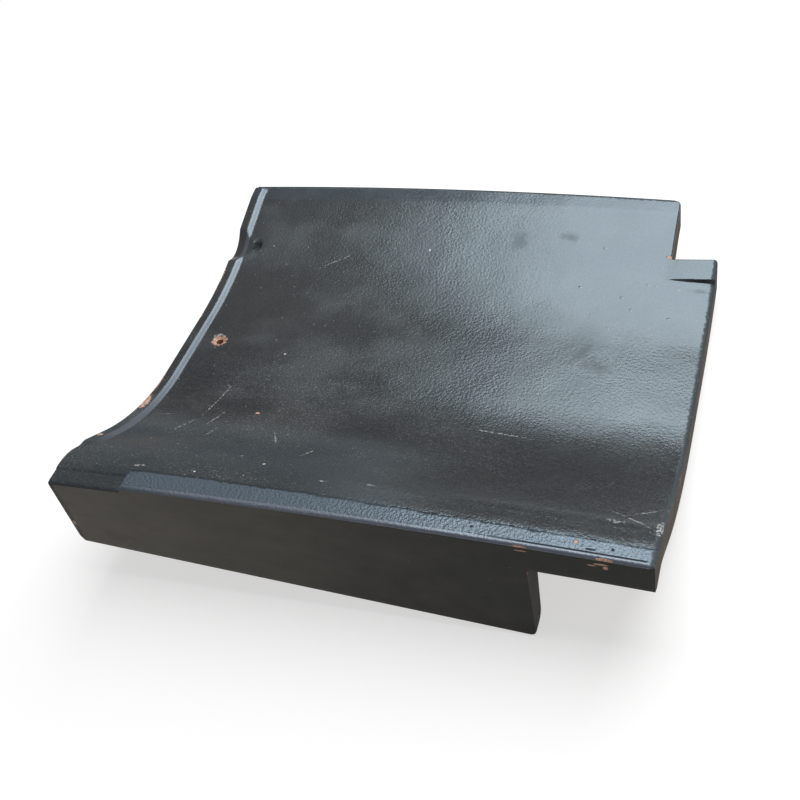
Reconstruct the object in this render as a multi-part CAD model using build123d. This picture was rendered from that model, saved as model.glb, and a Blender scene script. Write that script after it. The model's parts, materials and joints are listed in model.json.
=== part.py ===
"""Left verge tile of an interlocking Japanese clay roof, one fired piece.

X runs down the roof from the tail to the head, Y runs in from the verge, and Z is up.
The tile is drawn in its own axes, with the outer corner of the tail at the origin, and is
then laid down on its three lowest points, as it lies by itself on a level floor.
"""

import os
from math import asin, atan2, cos, degrees, radians, sin, tan

from build123d import *

# Plate: overall size, in mm
length = 305.0
width = 275.0
thickness = 17.0
camber = 3.5

# Plate: cross-section of the upper face, from the verge to the side rim
crest_width = 21.0
flank_slope = 31.5
valley_depth = 36.5
side_slope = 17.4
side_rise = 20.6
side_rim_width = 13.0
side_rim_slope = 7.0
crest_radius = 30.0
foot_radius = 130.0
side_foot_radius = 200.0
side_rim_radius = 24.0
edge_radius = 2.0
end_edge_radius = 1.2

# Apron that hangs from the verge
apron_length = 248.5
apron_depth_at_tail = 49.5
apron_depth_at_head = 68.0
apron_thickness_at_top = 16.0
apron_thickness_at_foot = 11.0
apron_outer_radius = 1.5
apron_inner_radius = 4.5
apron_root_radius = 6.0
apron_corner_radius = 3.5

# Raised bead along the verge, clear of the smooth seat at the tail
bead_width = 10.5
bead_height = 1.8
bead_slope_width = 1.5
lap_seat_length = 44.0
lap_seat_depth = 0.6

# Water stop along the tail edge
stop_height = 2.2
stop_top_width = 6.0
stop_foot_width = 9.2
stop_start = 32.0
stop_end_gap = 3.0
stop_radius = 1.0

# Drain scoop through the water stop, and the dimple at its inner end
scoop_across = 225.0
scoop_radius = 18.0
scoop_depth = 2.5
scoop_length = 15.0
dimple_along = 16.0
dimple_across = 226.5
dimple_radius = 3.5
dimple_depth = 3.5

# Nail hole near the tail
nail_along = 21.5
nail_across = 146.5
nail_diameter = 4.5
nail_chip_diameter = 8.5
nail_chip_depth = 1.4

# Corner notch at the head, the plan's rounded corners, and the wedge-shaped pad by the notch
notch_length = 25.6
notch_width = 42.0
notch_outer_radius = 5.0
head_corner_radius = 2.5
pad_width = 14.0
pad_length = 28.0
pad_height = 3.0

# Hanging lug under the tail
lug_along = 1.0
lug_length = 14.0
lug_middle = 148.0
lug_width = 92.0
lug_height = 12.0
lug_draft = 8.0
lug_radius = 2.0

# How far a raised feature is rooted in the plate, and how far a cutter runs past a face
root = 4.0
clear = 5.0

# Turn that puts the seam of the nail hole's round cutter across the tile
seam_angle = 90.0

# Corners of the upper face's line across the tile, as (across, up), with their radii, and
# whether the line turns down (1) or up (-1) at each inner corner
side_rim_drop = side_rim_width * tan(radians(side_rim_slope))
flank_foot = crest_width + valley_depth / tan(radians(flank_slope))
side_top = width - side_rim_width
side_foot = side_top - side_rise / tan(radians(side_slope))
upper_line = [
    (0.0, 0.0),
    (crest_width, 0.0),
    (flank_foot, -valley_depth),
    (side_foot, -valley_depth),
    (side_top, side_rise - valley_depth),
    (width, side_rise - valley_depth + side_rim_drop),
]
upper_radii = [edge_radius, crest_radius, foot_radius, side_foot_radius, side_rim_radius, edge_radius]
upper_turns = [1, -1, -1, 1]

# How finely the tile is measured when it is laid down
rest_tolerance = 0.05
rest_steps = 12

# Camber: the whole section is turned about one axis far below the middle of the tile
bend_radius = (length / 2) ** 2 / (2 * camber) + camber / 2
bend_axis = Axis((length / 2, 0, camber - bend_radius), (0, 1, 0))


def lowered(line, distance):
    """The corners of a line that runs a distance below another one, measured square to it."""
    slopes = [atan2(b[1] - a[1], b[0] - a[0]) for a, b in zip(line, line[1:])]
    result = [(line[0][0], line[0][1] - distance / cos(slopes[0]))]
    for (across, up), before, after in zip(line[1:], slopes, slopes[1:]):
        reach = distance / cos((after - before) / 2)
        middle = (after + before) / 2
        result.append((across + reach * sin(middle), up - reach * cos(middle)))
    result.append((line[-1][0], line[-1][1] - distance / cos(slopes[-1])))
    return result


def rounded_face(points, radii):
    """A face with straight sides, each corner rounded by its own radius."""
    face = make_face(Polyline(*points, close=True))
    for point, radius in zip(points, radii):
        if radius > 0:
            corner = face.vertices().sort_by_distance(point)[0]
            face = fillet(corner, radius)
    return face


def layer(top_offset, bottom_offset, outer_radius):
    """The cross-section of a layer that follows the upper face, between two depths below it."""
    top = lowered(upper_line, top_offset)
    bottom = lowered(upper_line, bottom_offset)
    radii = []
    for offset in (top_offset, bottom_offset):
        row = [outer_radius]
        for radius, turn in zip(upper_radii[1:-1], upper_turns):
            row.append(radius - turn * offset)
        row.append(outer_radius)
        radii.append(row)
    return rounded_face(top + bottom[::-1], radii[0] + radii[1][::-1])


def angle_at(along):
    """The camber angle, in degrees, of a place along the tile."""
    return degrees(asin((along - length / 2) / bend_radius))


def bent(section, start, end):
    """A section of the tile carried along the camber from one place along it to another."""
    face = Pos(length / 2, 0, camber) * (Plane.YZ * section)
    face = face.rotate(bend_axis, angle_at(start))
    return revolve(face, bend_axis, angle_at(end) - angle_at(start))


def surface_up(across):
    """Height of the upper face's straight-sided line, for placing features across the tile."""
    for (y0, z0), (y1, z1) in zip(upper_line, upper_line[1:]):
        if y0 <= across <= y1:
            return z0 + (z1 - z0) * (across - y0) / (y1 - y0)
    raise ValueError("that place isn't on the tile")


def along_camber(along):
    """How far the camber lifts the tile at a place along it."""
    return (bend_radius**2 - (along - length / 2) ** 2) ** 0.5 - bend_radius + camber


def plan():
    """The tile's outline seen from above, with the notch at its head."""
    notch_start = length - notch_length
    notch_edge = width - notch_width
    points = [
        (0, -clear),
        (length, -clear),
        (length, notch_edge),
        (notch_start, notch_edge),
        (notch_start, width),
        (0, width),
    ]
    return rounded_face(points, [0, 0, head_corner_radius, 0, notch_outer_radius, 0])


def make_plate():
    """The curved plate, cut to its plan, with the edges of both its ends rounded."""
    plate = bent(layer(0, thickness, edge_radius), -clear, length + clear)
    plate &= extrude(plan(), amount=4 * valley_depth, both=True)
    for end in (0, -1):
        plate = fillet(plate.faces().sort_by(Axis.X)[end].edges(), end_edge_radius)
    return plate


def make_bead():
    """The raised bead along the verge, from the lap seat to the head."""
    points = [
        (0, bead_height),
        (bead_width - bead_slope_width, bead_height),
        (bead_width, 0),
        (bead_width, -root),
        (0, -root),
    ]
    section = rounded_face(points, [edge_radius, bead_slope_width, 0, 0, 0])
    bead = bent(section, lap_seat_length, length + clear)
    bead &= extrude(plan(), amount=valley_depth, both=True)
    return fillet(bead.faces().sort_by(Axis.X)[-1].edges().sort_by(Axis.Z)[-1], end_edge_radius)


def make_lap_seat():
    """The cutter for the shallow smooth seat at the tail, on which the next tile laps."""
    points = [
        (-clear, clear),
        (bead_width, clear),
        (bead_width, -lap_seat_depth),
        (-clear, -lap_seat_depth),
    ]
    return bent(make_face(Polyline(*points, close=True)), -clear, lap_seat_length)


def apron_side(overrun):
    """The apron's outline in side view, carried past both its ends by an overrun."""
    fall = (apron_depth_at_head - apron_depth_at_tail) / apron_length
    return [
        (-overrun, 0),
        (-overrun, -apron_depth_at_tail + fall * overrun),
        (apron_length + overrun, -apron_depth_at_head - fall * overrun),
        (apron_length + overrun, 0),
    ]


def make_apron():
    """The apron: a drafted wall, deeper towards the head, with its lower edges and corners rounded."""
    flare_up = -thickness - apron_root_radius
    flare_in = apron_thickness_at_top + apron_root_radius
    draft = (apron_thickness_at_top - apron_thickness_at_foot) / (apron_depth_at_head + flare_up)
    deepest = apron_depth_at_head + clear
    section = [
        (0, -root),
        (0, -deepest),
        (apron_thickness_at_foot - draft * clear, -deepest),
        (apron_thickness_at_top, flare_up),
        (flare_in, -thickness + root),
        (flare_in, -root),
    ]
    section_face = rounded_face(section, [0, 0, 0, apron_root_radius, 0, 0])
    wall = extrude(Plane.YZ * section_face, amount=2 * length, both=True)
    wall &= extrude(Plane.XZ * make_face(Polyline(*apron_side(clear), close=True)), amount=width, both=True)
    for edge, radius in ((0, apron_outer_radius), (-1, apron_inner_radius)):
        foot = wall.faces().filter_by(GeomType.PLANE).sort_by(Axis.Z)[0]
        wall = fillet(foot.edges().sort_by(Axis.Y)[edge], radius)
    outline = rounded_face(apron_side(0), [0, apron_corner_radius, apron_corner_radius, 0])
    return wall & extrude(Plane.XZ * outline, amount=width, both=True)


def make_water_stop():
    """The raised rim along the tail edge, carried along the upper face's line."""
    profile_points = [
        (0, -root),
        (0, stop_height),
        (stop_top_width, stop_height),
        (stop_foot_width, 0),
        (stop_foot_width, -root),
    ]
    profile = rounded_face(profile_points, [0, stop_radius, stop_radius, 0, 0])
    stop_end = width - stop_end_gap
    bends = [
        (point, radius)
        for point, radius in zip(upper_line, upper_radii)
        if stop_start < point[0] < stop_end
    ]
    route = [(stop_start, surface_up(stop_start))]
    route += [point for point, radius in bends]
    route += [(stop_end, surface_up(stop_end))]
    path = Plane.YZ * FilletPolyline(*route, radius=[radius for point, radius in bends])
    start = Plane(origin=path @ 0, x_dir=(1, 0, 0), z_dir=path % 0)
    return sweep(start * mirror(profile, Plane.XZ), path)


def make_pad():
    """The wedge beside the notch, which rises from nothing towards the head."""
    pad_start = length - pad_length
    points = [
        (pad_start, along_camber(pad_start)),
        (length, pad_height),
        (length, -root),
        (pad_start, -root),
    ]
    notch_edge = width - notch_width
    uphill = (0, cos(radians(side_slope)), sin(radians(side_slope)))
    plane = Plane(
        origin=(0, notch_edge, surface_up(notch_edge)),
        x_dir=(1, 0, 0),
        z_dir=tuple(-part for part in uphill),
    )
    return extrude(plane * make_face(Polyline(*points, close=True)), amount=pad_width)


def make_lug():
    """The hanging lug under the tail, with drafted sides."""
    under = -valley_depth - thickness + along_camber(lug_along)
    height = root + lug_height
    side_angle = 90 - lug_draft
    side_view = Plane.XZ * Trapezoid(lug_length, height, side_angle)
    end_view = Plane.YZ * Trapezoid(lug_width, height, side_angle)
    lug = extrude(side_view, amount=lug_width, both=True) & extrude(end_view, amount=lug_length, both=True)
    middle = Location((lug_along + lug_length / 2, lug_middle, under + root - height / 2), (180, 0, 0))
    lug = middle * lug
    return fillet(lug.faces().sort_by(Axis.Z)[0].edges(), lug_radius)


def make_scoop():
    """The cutter for the drain scoop, which runs out where the dimple begins."""
    rise = degrees(atan2(scoop_depth, scoop_length))
    radius_below_axis = scoop_radius - scoop_depth
    place = Location((0, scoop_across, surface_up(scoop_across)), (side_slope, 0, 0))
    along = Location((0, 0, radius_below_axis), (0, 90 - rise, 0))
    cutter = Cylinder(scoop_radius, 2 * scoop_length, align=(Align.CENTER, Align.CENTER, Align.CENTER))
    ball_radius = (dimple_radius**2 + dimple_depth**2) / (2 * dimple_depth)
    dimple_up = surface_up(dimple_across) + along_camber(dimple_along) - dimple_depth + ball_radius
    return place * along * cutter + Pos(dimple_along, dimple_across, dimple_up) * Sphere(ball_radius)


def make_nail_hole():
    """The cutter for the nail hole, with the glaze chipped away round its mouth."""
    up = surface_up(nail_across) + along_camber(nail_along)
    shaft = Cylinder(nail_diameter / 2, 4 * thickness)
    chip_slope = (nail_chip_diameter - nail_diameter) / 2 / nail_chip_depth
    mouth = Cone(
        nail_diameter / 2,
        nail_diameter / 2 + 2 * nail_chip_depth * chip_slope,
        2 * nail_chip_depth,
    )
    return Location((nail_along, nail_across, up), (0, 0, seam_angle)) * (shaft + mouth)


def make_tile():
    """The whole tile in its own axes."""
    tile = make_plate() + make_bead() - make_lap_seat()
    tile += make_apron() + make_lug()
    tile += make_water_stop() + make_pad()
    tile -= make_scoop()
    tile -= make_nail_hole()
    return tile


def lay_down(tile):
    """The tile on a level floor, resting on its lug, its apron and its head, centred over the origin."""
    points, _ = tile.tessellate(rest_tolerance)
    apron_edge = apron_thickness_at_top
    supports = [
        [p for p in points if p.X < lug_along + lug_length and p.Y > apron_edge],
        [p for p in points if p.X > apron_length + clear and p.Y > apron_edge],
        [p for p in points if p.Y < apron_edge],
    ]
    up = Vector(0, 0, 1)
    for _ in range(rest_steps):
        lug, head, apron = (min(group, key=up.dot) for group in supports)
        up = (head - apron).cross(lug - apron).normalized()
    down_roof = Vector(0, 1, 0).cross(up)
    tile = Plane(origin=lug, x_dir=down_roof, z_dir=up).to_local_coords(tile)
    box = tile.bounding_box()
    middle = box.center()
    return Pos(-middle.X, -middle.Y, -box.min.Z) * tile


os.makedirs("parts", exist_ok=True)
export_step(lay_down(make_tile()), "parts/verge_tile.step")
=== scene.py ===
"""The glazed clay verge tile's finished surface, the studio round it and the camera."""

import json
from math import atan2, pi, radians, tan

import bpy
import numpy as np
from bpy.props import FloatProperty, FloatVectorProperty, PointerProperty
from mathutils import Matrix, Vector


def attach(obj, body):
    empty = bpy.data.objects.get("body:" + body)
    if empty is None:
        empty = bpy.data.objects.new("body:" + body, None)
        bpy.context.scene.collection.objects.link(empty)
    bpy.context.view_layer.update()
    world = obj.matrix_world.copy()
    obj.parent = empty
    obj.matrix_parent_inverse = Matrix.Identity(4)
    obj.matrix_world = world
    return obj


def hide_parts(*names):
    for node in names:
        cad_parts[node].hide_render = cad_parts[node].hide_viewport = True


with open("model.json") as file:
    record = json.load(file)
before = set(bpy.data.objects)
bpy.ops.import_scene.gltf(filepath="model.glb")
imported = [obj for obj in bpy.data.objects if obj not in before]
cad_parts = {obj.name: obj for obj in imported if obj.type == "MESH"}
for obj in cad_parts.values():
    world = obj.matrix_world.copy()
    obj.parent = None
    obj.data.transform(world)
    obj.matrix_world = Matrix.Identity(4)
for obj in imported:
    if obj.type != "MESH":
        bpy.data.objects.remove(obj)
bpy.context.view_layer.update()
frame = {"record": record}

bl_info = {
    "name": "Clay Verge Tile",
    "version": (1, 0, 0),
    "blender": (4, 5, 0),
    "location": "3D View > Sidebar > Verge Tile",
    "description": "Builds a black-glazed verge tile with its wear, and a studio to see it in",
    "category": "Add Mesh",
}

MM = 0.001

# Wear on the upper face, in mm: along, across, length, breadth, and turn in degrees
STAINS = ((245, 151, 6, 5, 20), (34, 45, 50, 18, 12))
SMUDGES = (
    (189, 237, 9, 9, 40),
    (219, 242, 8, 6, 0),
    (241, 160, 14, 6, 60),
    (252, 150, 12, 6, -30),
    (196, 182, 5, 3, 0),
    (298, 213, 12, 2.6, 0),
    (14, 220, 10, 6, 60),
)
SCRATCHES = (
    (44.5, 96, 26, 0.8, 82),
    (52, 78.5, 12, 0.9, 74),
    (38, 70, 14, 0.9, 64),
    (58, 66, 9, 0.8, 80),
    (211, 93, 24, 0.9, -4),
    (291.5, 27.5, 20, 1.1, -30),
    (295.5, 37, 16, 1.0, 38),
    (284, 24, 7, 2.4, 10),
    (47.5, 17.6, 6.5, 1.3, 8),
    (146, 22.3, 6, 0.9, 4),
    (170, 24, 5, 0.9, -10),
    (74, 216, 21, 0.5, 29),
    (97, 64, 11, 0.8, -60),
    (122, 52, 8, 0.8, 70),
)
DOTS = (
    (109, 32.1, 1.5, 1.5, 0),
    (69.3, 138.5, 1.1, 1.1, 0),
    (78.7, 17.5, 1.3, 1.1, 0),
    (134.8, 227.7, 1.2, 1.2, 0),
)
CHIPS = (
    (21.5, 146.5, 9.6, 9.6, 0),
    (74.1, 87.7, 2.4, 1.6, 0),
    (2, 87, 5, 13, 10),
    (0.6, 104, 1.8, 16, 0),
    (0.3, 201, 2.2, 13, 0),
    (0.3, 165.6, 1.8, 6, 0),
    (3, 44, 3, 3, 0),
    (270.4, 6.9, 2.6, 1.6, 0),
    (283.5, 0.2, 8, 1.6, 0),
    (246.5, 0.1, 6, 1.4, 0),
    (279, 233.5, 5, 2, 0),
)
CHIP_RIMS = ((303.5, 23.5, 3.2, 10, 0), (18.6, 150.2, 6, 3.6, 35))
# Pits and the dimple, which the glaze colours with painted shade
PITS = (
    (16, 226.5, 6.4, 6.4, 0),
    (286.3, 5.8, 1.4, 1.4, 0),
    (277.3, 4.2, 4.5, 1.0, 0),
    (224, 6.3, 1.2, 1.0, 0),
)
BUBBLES = (
    (269, 214, 2.2, 2.0, 0),
    (273.6, 214, 1.7, 1.7, 0),
    (286, 213, 2.2, 2.0, 0),
    (255.5, 204, 1.8, 1.5, 0),
    (231, 209, 1.8, 1.5, 0),
    (241, 236, 1.8, 1.6, 0),
    (262, 196, 1.8, 1.8, 0),
    (283, 192, 1.6, 1.6, 0),
)

# Chips on the verge face, in mm: along, up, length, breadth
VERGE_CHIPS = (
    (282, -1.2, 6, 1.3),
    (278, -2.6, 4, 0.9),
    (284, -3.2, 2.4, 2.4),
    (247, 0.4, 6, 0.8),
    (2.5, -33, 2, 4),
)


def distance(name, description, millimetres):
    """A length property whose default is given in millimetres."""
    return FloatProperty(
        name=name, description=description, default=millimetres * MM, unit="LENGTH", subtype="DISTANCE"
    )


def slope(name, description, degrees):
    """An angle property whose default is given in degrees."""
    return FloatProperty(
        name=name, description=description, default=radians(degrees), unit="ROTATION", subtype="ANGLE"
    )


def share(name, description, value):
    """A property from 0 to 1."""
    return FloatProperty(
        name=name, description=description, default=value, min=0, max=1, subtype="FACTOR"
    )


def colour(name, description, red, green, blue):
    """A colour property, in linear light."""
    return FloatVectorProperty(
        name=name, description=description, default=(red, green, blue), min=0, max=1, subtype="COLOR"
    )


def place(name, description, along, across, up):
    """A place in the tile's own axes, whose default is given in millimetres."""
    return FloatVectorProperty(
        name=name,
        description=description,
        default=(along * MM, across * MM, up * MM),
        unit="LENGTH",
        subtype="TRANSLATION",
    )


class TileSizes(bpy.types.PropertyGroup):
    """Sizes of the clay body. Along runs from tail to head, across runs in from the verge."""

    length: distance("Length", "From the tail to the head", 305)
    width: distance("Width", "From the verge to the far side", 275)
    thickness: distance("Thickness", "Of the curved plate", 17)
    camber: distance("Camber", "Rise of the middle above the two ends", 3.5)
    crest_width: distance("Crest width", "Level part along the verge", 21)
    flank_slope: slope("Flank slope", "From the crest down to the valley", 31.5)
    valley_depth: distance("Valley depth", "Of the valley below the crest", 36.5)
    side_slope: slope("Side slope", "From the valley up to the far side", 17.4)
    side_rise: distance("Side rise", "Of the far side above the valley", 20.6)
    side_rim_width: distance("Side rim width", "Flatter strip along the far side", 13)
    side_rim_slope: slope("Side rim slope", "Of the flatter strip", 7)
    crest_radius: distance("Crest radius", "Bend between crest and flank", 30)
    foot_radius: distance("Foot radius", "Bend between flank and valley", 130)
    side_foot_radius: distance("Side foot radius", "Bend between valley and side", 200)
    side_rim_radius: distance("Side rim radius", "Bend between side and side rim", 24)
    edge_radius: distance("Long edge radius", "On the edges along the tile", 2)
    end_radius: distance("End edge radius", "On the edges across the tile", 1.2)

    apron_length: distance("Apron length", "From the tail", 248.5)
    apron_tail: distance("Apron depth at tail", "Below the crest", 49.5)
    apron_head: distance("Apron depth at head", "Below the crest", 68)
    apron_top: distance("Apron thickness at top", "Under the plate", 16)
    apron_foot: distance("Apron thickness at foot", "At the lower edge", 11)
    apron_root: distance("Apron root radius", "Inside, where it meets the plate", 6)
    apron_outer: distance("Apron outer radius", "Outer lower edge", 1.5)
    apron_inner: distance("Apron inner radius", "Inner lower edge", 4.5)
    apron_corner: distance("Apron corner radius", "Lower corners seen from the side", 3.5)

    bead_width: distance("Bead width", "Raised band along the verge", 10.5)
    bead_height: distance("Bead height", "Above the crest", 1.8)
    bead_slope: distance("Bead slope width", "Of the bead's inner side", 1.5)
    bead_spread: distance("Bead spread", "Added to the bead's width towards the tail", 2.2)
    bead_taper_start: distance("Bead taper start", "From the tail, where it starts to narrow", 70)
    bead_taper_end: distance("Bead taper end", "From the tail, where it has its own width", 280)
    bead_rag: distance("Bead raggedness", "Of the bead's inner edge", 1.1)
    seat_length: distance("Lap seat length", "Smooth seat at the tail", 44)
    seat_depth: distance("Lap seat depth", "Below the crest", 0.6)

    stop_height: distance("Water stop height", "Rim along the tail edge", 2.2)
    stop_top: distance("Water stop top width", "Level part of the rim", 6)
    stop_foot: distance("Water stop foot width", "Rim with its inner slope", 9.2)
    stop_start: distance("Water stop start", "Distance in from the verge", 32)
    stop_gap: distance("Water stop end gap", "Left free at the far side", 3)

    scoop_across: distance("Scoop place", "Across, of the drain scoop", 225)
    scoop_radius: distance("Scoop radius", "Of the round tool that cut it", 18)
    scoop_depth: distance("Scoop depth", "At the tail edge", 2.5)
    scoop_length: distance("Scoop length", "Until it runs out", 15)
    dimple_along: distance("Dimple along", "From the tail", 16)
    dimple_across: distance("Dimple across", "From the verge", 226.5)
    dimple_radius: distance("Dimple radius", "At its mouth", 3.5)
    dimple_depth: distance("Dimple depth", "At its middle", 3.5)

    nail_along: distance("Nail hole along", "From the tail", 21.5)
    nail_across: distance("Nail hole across", "From the verge", 146.5)
    nail_diameter: distance("Nail hole diameter", "Clear bore", 4.5)
    nail_chip_diameter: distance("Nail chip diameter", "Glaze lost round the mouth", 8.5)
    nail_chip_depth: distance("Nail chip depth", "Glaze lost round the mouth", 1.4)

    notch_length: distance("Notch length", "Back from the head", 25.6)
    notch_width: distance("Notch width", "In from the far side", 42)
    notch_corner: distance("Notch outer corner", "Radius seen from above", 5)
    head_corner: distance("Head corner", "Radius beside the notch, seen from above", 2.5)
    plain_corner: distance("Other corners", "Radius of the other corners seen from above", 1.2)
    pad_width: distance("Pad width", "Wedge beside the notch", 14)
    pad_length: distance("Pad length", "Wedge beside the notch", 28)
    pad_height: distance("Pad height", "At the head", 3)

    lug_along: distance("Lug along", "From the tail to the lug", 1)
    lug_length: distance("Lug length", "Along the tile", 14)
    lug_middle: distance("Lug middle", "Across, from the verge", 148)
    lug_width: distance("Lug width", "Across the tile", 92)
    lug_height: distance("Lug height", "Below the plate", 12)
    lug_root: distance("Lug root", "How far it reaches up into the plate", 4)
    lug_radius: distance("Lug edge radius", "On its lower edges", 2)
    lug_draft: slope("Lug draft", "Slope of its sides", 8)


class TileFinish(bpy.types.PropertyGroup):
    """Colours of the glaze, the clay and the wear, painted highlights and shade, and how the glaze
    shines.
    """

    glaze: colour("Glaze", "Black glaze", 0.020, 0.019, 0.020)
    glaze_dusty: colour("Dusty glaze", "Where dust and kiln ash dull it", 0.064, 0.061, 0.057)
    # Painted shade: a deeper black laid on the scuffed flank and crest
    flank_shade: colour("Scuffed glaze", "Deep black of the scuffed flank", 0.006, 0.006, 0.007)
    # Painted shade, down in the groove, the dimple and the pits
    hollow_shade: colour("Hollows", "Down in the groove and the pits", 0.004, 0.005, 0.005)
    glaze_edge: colour("Glaze at edges", "Thin glaze along the tile's edges", 0.016, 0.020, 0.018)
    # Painted blue light: tints all that the glaze mirrors, in place of a bluish lamp
    painted_reflection_tint: colour("Glaze sheen", "Tint of what it mirrors", 0.70, 0.88, 1.0)
    glaze_index: FloatProperty(
        name="Glaze index", description="Refractive index of the glaze", default=2.1, min=1, max=3
    )
    glaze_roughness: share("Glaze roughness", "Satin to glossy", 0.27)
    worn_roughness: share("Worn roughness", "Of the dusty, scuffed flank", 0.95)
    # The bead's blue grey glaze, partly painted reflection, made lighter towards the head
    bead: colour("Bead", "Blue grey glaze of the pebbly bead", 0.046, 0.062, 0.084)
    bead_head: colour("Bead at head", "The same near the head", 0.082, 0.110, 0.150)
    # Painted highlight, laid on the bead's outer bend and on the water stop's inner slope
    edge_highlight: colour("Bead edge", "Thin lighter glaze on its outer bend", 0.120, 0.125, 0.160)
    # Painted shade along the inner step of the bead
    bead_shade_line: colour("Bead line", "Dark line inside the bead", 0.010, 0.012, 0.014)
    speck: colour("Specks", "Fine pale specks in the glaze", 0.38, 0.38, 0.36)
    stain: colour("Stains", "Brown water marks", 0.085, 0.062, 0.042)
    slip: colour("Slip at head", "Matt dark slip of the verge face", 0.055, 0.055, 0.050)
    # Lighter slip colour, laid on more towards the tail
    slip_lighter: colour("Slip at tail", "The same, lighter with dust", 0.245, 0.228, 0.198)
    slip_edge: colour("Slip at tail edge", "Dark strip at the tail end", 0.012, 0.012, 0.012)
    clay: colour("Clay", "Fired clay under the glaze", 0.42, 0.220, 0.140)
    clay_pale: colour("Pale clay", "Freshly chipped clay", 0.82, 0.52, 0.38)
    clay_smoked: colour("Smoked clay", "Clay greyed by the kiln and by dust", 0.135, 0.112, 0.092)
    chip_edge: colour("Chip edge", "Whitish broken rim of a chip", 0.70, 0.70, 0.68)
    orange_peel: distance("Orange peel", "Height of the glaze's fine ripple", 0.18)
    swell: distance("Swell", "Height of the clay's slow waves", 0.75)
    pebble: distance("Pebble height", "Of the bead's pebbly skin", 0.5)
    dip: distance("Dip", "Fall of the crest just inside the bead", 1.5)
    bubble: distance("Bubble height", "Of the small bubbles in the glaze", 0.12)
    hollow: distance("Hollow depth", "Of groove, pits and chips in the glaze", 0.3)
    slip_chip: distance("Slip chip depth", "Of the chips on the verge face", 0.4)
    clay_grain: distance("Clay grain", "Height of the bare clay's grain", 0.12)


class StudioSettings(bpy.types.PropertyGroup):
    """The camera and the soft lamp, in the tile's own axes, the floor and the room's light."""

    camera_place: place("Camera place", "Where the camera stands", 349.9, -270.4, 387.9)
    camera_aim: place("Camera aim", "What the camera looks at", 156.6, 98.9, -20)
    camera_roll: slope("Camera roll", "Turn about the line of sight", -14.19)
    camera_lens: FloatProperty(
        name="Lens", description="Focal length on a 36 mm frame", default=49.5, unit="CAMERA"
    )
    lamp_place: place("Lamp place", "Middle of the soft lamp, which faces straight down", 360, 655, 1100)
    lamp_length: distance("Lamp length", "Along the tile", 1080)
    lamp_breadth: distance("Lamp breadth", "Across the tile", 1510)
    lamp_turn: slope("Lamp turn", "Seen from above", -6)
    lamp_power: FloatProperty(name="Lamp power", description="In watts", default=18.2, min=0)
    room_level: share("Room light", "Level of the plain grey room", 0.15)
    floor_colour: colour("Floor", "Plain pale floor", 0.58, 0.58, 0.58)
    floor_glow: share("Floor glow", "Lifts the floor to white where it is looked at", 0.6)
    floor_size: distance("Floor size", "Side of the floor", 6000)


def tile_axes():
    """The turn and shift from the tile's own axes to the frame, read from its two mounts."""
    mounts = {mount["name"]: mount for mount in frame["record"]["mounts"]}
    sizes = bpy.context.scene.verge_tile
    up = Vector(mounts["nail_hole"]["axis"]).normalized()
    lug_face = Vector(mounts["lug_batten_face"]["axis"])
    down_roof = (lug_face - up * lug_face.dot(up)).normalized()
    turn = Matrix((down_roof, up.cross(down_roof), up)).transposed()
    wall = sizes.thickness - sizes.nail_chip_depth
    mouth = camber_lift(sizes, sizes.nail_along) - sizes.valley_depth - sizes.nail_chip_depth
    hole = Vector((sizes.nail_along, sizes.nail_across, mouth - wall / 2))
    return turn, Vector(mounts["nail_hole"]["pos_m"]) - turn @ hole


def camber_lift(sizes, along):
    """How far the camber lifts the tile at a place along it."""
    half = sizes.length / 2
    return sizes.camber * (1 - ((along - half) / half) ** 2)


def ramp(value, start, end):
    """Rises smoothly from 0 at start to 1 at end."""
    part = np.clip((value - start) / (end - start), 0, 1)
    return part * part * (3 - 2 * part)


def mix(first, second, part):
    """A value between two others."""
    return first + (second - first) * part


class RoundedLine:
    """A line across the tile of straight runs joined by arcs, as a height for each place across."""

    def __init__(self, corners, radii):
        runs = np.diff(corners, axis=0)
        slopes = np.arctan2(runs[:, 1], runs[:, 0])
        lengths = np.hypot(runs[:, 0], runs[:, 1])
        turns = np.abs(np.diff(slopes))
        reach = np.concatenate([[0], radii * np.tan(turns / 2), [0]])
        straight = lengths - reach[:-1] - reach[1:]
        marks = [0.0]
        for index, run in enumerate(straight):
            marks.append(marks[-1] + run)
            if index < len(turns):
                marks.append(marks[-1] + radii[index] * turns[index])
        step = 0.05 * MM
        stations = np.arange(step / 2, marks[-1], step)
        angle = np.interp(stations, marks, np.repeat(slopes, 2))
        self.across = corners[0][0] + np.concatenate([[0], np.cumsum(np.cos(angle)) * step])
        self.up = corners[0][1] + np.concatenate([[0], np.cumsum(np.sin(angle)) * step])

    def height(self, across):
        """Height of the line at a place across the tile."""
        return np.interp(across, self.across, self.up)


def plate_lines(sizes):
    """The lines of the plate's upper face and of its underside, a thickness below."""
    s = sizes
    flank_foot = s.crest_width + s.valley_depth / tan(s.flank_slope)
    side_top = s.width - s.side_rim_width
    side_foot = side_top - s.side_rise / tan(s.side_slope)
    side_up = s.side_rise - s.valley_depth
    upper = [
        (0, 0),
        (s.crest_width, 0),
        (flank_foot, -s.valley_depth),
        (side_foot, -s.valley_depth),
        (side_top, side_up),
        (s.width, side_up + s.side_rim_width * tan(s.side_rim_slope)),
    ]
    radii = np.array([s.crest_radius, s.foot_radius, s.side_foot_radius, s.side_rim_radius])
    turns = np.array([1, -1, -1, 1])
    slopes = [atan2(b[1] - a[1], b[0] - a[0]) for a, b in zip(upper, upper[1:])]
    lower = [(0, -s.thickness / np.cos(slopes[0]))]
    for (across, up), before, after in zip(upper[1:], slopes, slopes[1:]):
        reach = s.thickness / np.cos((after - before) / 2)
        middle = (after + before) / 2
        lower.append((across + reach * np.sin(middle), up - reach * np.cos(middle)))
    lower.append((s.width, upper[-1][1] - s.thickness / np.cos(slopes[-1])))
    return RoundedLine(upper, radii), RoundedLine(lower, radii - turns * s.thickness)


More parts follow.
